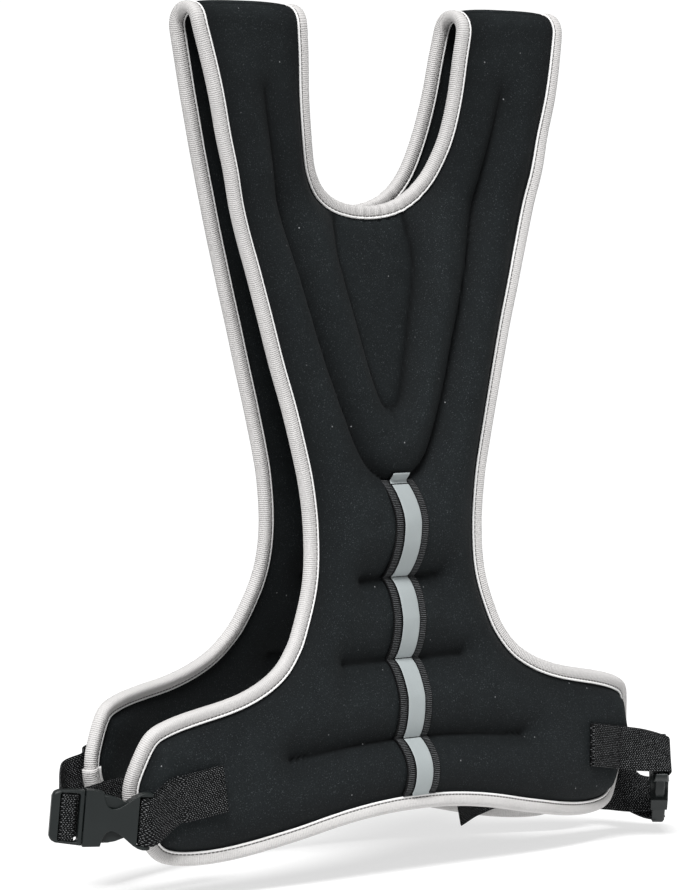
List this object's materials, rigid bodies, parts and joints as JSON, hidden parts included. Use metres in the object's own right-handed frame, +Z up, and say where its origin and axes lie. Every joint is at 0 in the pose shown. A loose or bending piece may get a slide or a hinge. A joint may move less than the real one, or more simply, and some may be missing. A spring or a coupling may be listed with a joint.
{
  "type": "weighted vest",
  "caption": "Y-shaped padded neoprene weighted vest, as worn, with pale edge tape, a reflective strip down the front and fastened buckle straps at the sides",
  "frame": {"origin": "midway between the shoulder straps, level with the underside of their crest, where the wearer's shoulders carry the vest", "axes": "+Z up, the front panel faces -Y, +X towards the right of a viewer who looks at the front"},
  "size_m": [0.4801, 0.1188, 0.4818],
  "materials": {
    "neoprene": "knit-faced neoprene, black, dull with a faint sheen",
    "edge_tape": "ribbed polyester tape, pale warm grey, matt",
    "webbing": "herringbone webbing, black with light specks, matt",
    "reflective": "silver-grey reflective tape, satin",
    "buckle": "moulded acetal, dark green-grey, fine matt"
  },
  "bodies": {
    "root": {"front_panel": "neoprene", "back_panel": "neoprene", "outer_binding": "edge_tape", "neck_binding": "edge_tape", "binding_end_tab": "edge_tape", "front_webbing": "webbing", "reflective_tape": "reflective", "left_socket_strap": "webbing", "left_buckle_socket": "buckle", "left_buckle_plug": "buckle", "left_adjust_strap": "webbing", "right_socket_strap": "webbing", "right_buckle_socket": "buckle", "right_buckle_plug": "buckle", "right_adjust_strap": "webbing"}
  },
  "joints": []
}
